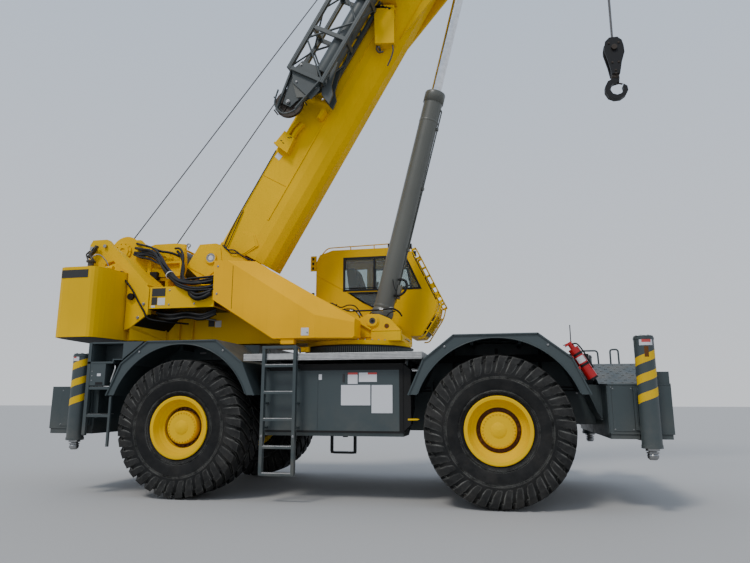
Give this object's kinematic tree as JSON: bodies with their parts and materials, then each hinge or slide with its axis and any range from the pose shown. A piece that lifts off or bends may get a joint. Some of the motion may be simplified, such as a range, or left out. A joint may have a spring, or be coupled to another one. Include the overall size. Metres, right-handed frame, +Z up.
{
  "type": "mobile crane",
  "caption": "Rough-terrain mobile crane with a telescopic boom on a slewing superstructure, side cab, large steered tyres and box outriggers.",
  "frame": {"origin": "on the ground under the slewing centre", "axes": "+X to the front, +Y to the crane's left, +Z up"},
  "size_m": [8.26, 3.3158, 13.2002],
  "materials": {
    "yellow_paint": "gloss machine yellow, lightly dusty",
    "grey_paint": "satin blue-grey carrier paint",
    "cylinder_paint": "satin warm grey",
    "slate_paint": "satin dark slate",
    "black_paint": "satin black",
    "red_paint": "gloss red",
    "rod_chrome": "polished rod",
    "steel": "bare machined steel",
    "deck_metal": "worn silver edge",
    "tyre": "dusty black",
    "engine_iron": "cast and painted dark",
    "cab_window": "tinted",
    "seat_plastic": "moulded black",
    "sheave_iron": "dark brown-black"
  },
  "bodies": {
    "root": {"carrier_frame": "grey_paint", "front_outrigger_box": "grey_paint", "rear_outrigger_box": "grey_paint", "deck": "deck_metal", "front_fenders": "grey_paint", "rear_fenders": "grey_paint", "engine_hood": "grey_paint", "engine_block": "engine_iron", "drive_line": "engine_iron", "side_tanks": "grey_paint", "side_ladders": "grey_paint", "rear_steps": "grey_paint", "slewing_ring": "black_paint", "front_axle": "grey_paint", "rear_axle": "grey_paint", "fire_extinguisher": "red_paint"},
    "superstructure": {"turret_frame": "yellow_paint", "side_housing": "yellow_paint", "left_housing": "yellow_paint", "counterweight": "yellow_paint", "counterweight_arms": "yellow_paint", "hoist_frames": "yellow_paint", "cab_shell": "yellow_paint", "cab_glass": "cab_window", "cab_interior": "seat_plastic"},
    "cab_door": {"cab_door": "yellow_paint"},
    "main_drum": {"main_drum": "steel"},
    "aux_drum": {"aux_drum": "steel"},
    "boom_base": {"boom_base_section": "yellow_paint", "lattice_jib": "slate_paint"},
    "jib_sheave": {"jib_sheave": "sheave_iron"},
    "boom_mid": {"boom_mid_section": "yellow_paint"},
    "boom_outer": {"boom_outer_section": "yellow_paint"},
    "boom_fly": {"boom_fly_section": "yellow_paint"},
    "nose_sheaves": {"nose_sheaves": "sheave_iron"},
    "lift_rod": {"lift_rod": "rod_chrome"},
    "lift_barrel": {"lift_barrel": "cylinder_paint"},
    "hook_falls": {"falls_guide": "steel"},
    "hook_block": {"hook_block": "sheave_iron"},
    "hook": {"hook": "sheave_iron"},
    "knuckle_front_right": {"knuckle_front_right": "grey_paint"},
    "wheel_front_right": {"rim_front_right": "yellow_paint", "tyre_front_right": "tyre"},
    "beam_front_right": {"beam_front_right": "grey_paint"},
    "jack_front_right": {"jack_front_right": "steel"},
    "knuckle_front_left": {"knuckle_front_left": "grey_paint"},
    "wheel_front_left": {"rim_front_left": "yellow_paint", "tyre_front_left": "tyre"},
    "beam_front_left": {"beam_front_left": "grey_paint"},
    "jack_front_left": {"jack_front_left": "steel"},
    "knuckle_rear_right": {"knuckle_rear_right": "grey_paint"},
    "wheel_rear_right": {"rim_rear_right": "yellow_paint", "tyre_rear_right": "tyre"},
    "beam_rear_right": {"beam_rear_right": "grey_paint"},
    "jack_rear_right": {"jack_rear_right": "steel"},
    "knuckle_rear_left": {"knuckle_rear_left": "grey_paint"},
    "wheel_rear_left": {"rim_rear_left": "yellow_paint", "tyre_rear_left": "tyre"},
    "beam_rear_left": {"beam_rear_left": "grey_paint"},
    "jack_rear_left": {"jack_rear_left": "steel"}
  },
  "joints": [
    {"name": "steer_front_right", "type": "hinge", "parent": "root", "child": "knuckle_front_right", "pos_m": [2.03, -0.95, 0.89], "axis": [0, 0, 1], "range_deg": [-25, 25]},
    {"name": "spin_front_right", "type": "hinge", "parent": "knuckle_front_right", "child": "wheel_front_right", "pos_m": [2.03, -1.25, 0.89], "axis": [0, 1, 0], "continuous": true},
    {"name": "steer_front_left", "type": "hinge", "parent": "root", "child": "knuckle_front_left", "pos_m": [2.03, 0.95, 0.89], "axis": [0, 0, 1], "range_deg": [-25, 25]},
    {"name": "spin_front_left", "type": "hinge", "parent": "knuckle_front_left", "child": "wheel_front_left", "pos_m": [2.03, 1.25, 0.89], "axis": [0, 1, 0], "continuous": true},
    {"name": "steer_rear_right", "type": "hinge", "parent": "root", "child": "knuckle_rear_right", "pos_m": [-2.03, -0.95, 0.89], "axis": [0, 0, 1], "range_deg": [-25, 25]},
    {"name": "spin_rear_right", "type": "hinge", "parent": "knuckle_rear_right", "child": "wheel_rear_right", "pos_m": [-2.03, -1.25, 0.89], "axis": [0, 1, 0], "continuous": true},
    {"name": "steer_rear_left", "type": "hinge", "parent": "root", "child": "knuckle_rear_left", "pos_m": [-2.03, 0.95, 0.89], "axis": [0, 0, 1], "range_deg": [-25, 25]},
    {"name": "spin_rear_left", "type": "hinge", "parent": "knuckle_rear_left", "child": "wheel_rear_left", "pos_m": [-2.03, 1.25, 0.89], "axis": [0, 1, 0], "continuous": true},
    {"name": "extend_front_right", "type": "slide", "parent": "root", "child": "beam_front_right", "axis": [0, -1, 0], "range_m": [0, 2]},
    {"name": "lower_front_right", "type": "slide", "parent": "beam_front_right", "child": "jack_front_right", "axis": [0, 0, -1], "range_m": [0, 0.58]},
    {"name": "extend_front_left", "type": "slide", "parent": "root", "child": "beam_front_left", "axis": [0, 1, 0], "range_m": [0, 2]},
    {"name": "lower_front_left", "type": "slide", "parent": "beam_front_left", "child": "jack_front_left", "axis": [0, 0, -1], "range_m": [0, 0.58]},
    {"name": "extend_rear_right", "type": "slide", "parent": "root", "child": "beam_rear_right", "axis": [0, -1, 0], "range_m": [0, 2]},
    {"name": "lower_rear_right", "type": "slide", "parent": "beam_rear_right", "child": "jack_rear_right", "axis": [0, 0, -1], "range_m": [0, 0.58]},
    {"name": "extend_rear_left", "type": "slide", "parent": "root", "child": "beam_rear_left", "axis": [0, 1, 0], "range_m": [0, 2]},
    {"name": "lower_rear_left", "type": "slide", "parent": "beam_rear_left", "child": "jack_rear_left", "axis": [0, 0, -1], "range_m": [0, 0.58]},
    {"name": "slew", "type": "hinge", "parent": "root", "child": "superstructure", "pos_m": [0, 0, 2], "axis": [0, 0, 1], "continuous": true},
    {"name": "door_slide", "type": "slide", "parent": "superstructure", "child": "cab_door", "axis": [-1, 0, 0], "range_m": [0, 0.64]},
    {"name": "main_drum_spin", "type": "hinge", "parent": "superstructure", "child": "main_drum", "pos_m": [-3.11, 0, 3.44], "axis": [0, 1, 0], "continuous": true},
    {"name": "aux_drum_spin", "type": "hinge", "parent": "superstructure", "child": "aux_drum", "pos_m": [-3.86, 0, 3.61], "axis": [0, 1, 0], "continuous": true},
    {"name": "boom_lift", "type": "hinge", "parent": "superstructure", "child": "boom_base", "pos_m": [-2.248, 0, 3.4], "axis": [0, -1, 0], "range_deg": [-58.8, 15.7]},
    {"name": "jib_sheave_spin", "type": "hinge", "parent": "boom_base", "child": "jib_sheave", "pos_m": [-0.99712, 0, 5.79485], "axis": [0, 1, 0], "continuous": true},
    {"name": "extend_mid", "type": "slide", "parent": "boom_base", "child": "boom_mid", "axis": [0.4955, 0, 0.8686], "range_m": [0, 7.2]},
    {"name": "extend_outer", "type": "slide", "parent": "boom_mid", "child": "boom_outer", "axis": [0.4955, 0, 0.8686], "range_m": [0, 7.2]},
    {"name": "extend_fly", "type": "slide", "parent": "boom_outer", "child": "boom_fly", "axis": [0.4955, 0, 0.8686], "range_m": [0, 7.2]},
    {"name": "nose_sheaves_spin", "type": "hinge", "parent": "boom_fly", "child": "nose_sheaves", "pos_m": [3.72322, 0, 12.65767], "axis": [0, 1, 0], "continuous": true},
    {"name": "rod_tilt", "type": "hinge", "parent": "boom_base", "child": "lift_rod", "pos_m": [1.83371, 0, 8.49731], "axis": [0, -1, 0], "range_deg": [-14.42, 3.89]},
    {"name": "cylinder_stroke", "type": "slide", "parent": "lift_rod", "child": "lift_barrel", "axis": [-0.2406, 0, -0.9706], "range_m": [-2.4127, 0.6449]},
    {"name": "falls_plumb", "type": "hinge", "parent": "boom_fly", "child": "hook_falls", "pos_m": [3.72322, 0, 12.65767], "axis": [0, -1, 0], "range_deg": [-15.8, 58.9]},
    {"name": "hoist", "type": "slide", "parent": "hook_falls", "child": "hook_block", "axis": [0, 0, -1], "range_m": [-4.32, 1.16]},
    {"name": "hook_swivel", "type": "hinge", "parent": "hook_block", "child": "hook", "pos_m": [3.94922, 0, 5.987], "axis": [0, 0, 1], "continuous": true}
  ],
  "couplings": [
    {"joint": "steer_front_left", "follows": "steer_front_right", "ratio": 1},
    {"joint": "steer_rear_left", "follows": "steer_rear_right", "ratio": 1},
    {"joint": "extend_outer", "follows": "extend_mid", "ratio": 1},
    {"joint": "extend_fly", "follows": "extend_mid", "ratio": 1},
    {"joint": "rod_tilt", "follows": "boom_lift", "ratio": 0.2442},
    {"joint": "cylinder_stroke", "follows": "boom_lift", "m_per_rad": 2.35},
    {"joint": "falls_plumb", "follows": "boom_lift", "ratio": -1},
    {"joint": "hoist", "follows": "boom_lift", "m_per_rad": 4.2}
  ]
}
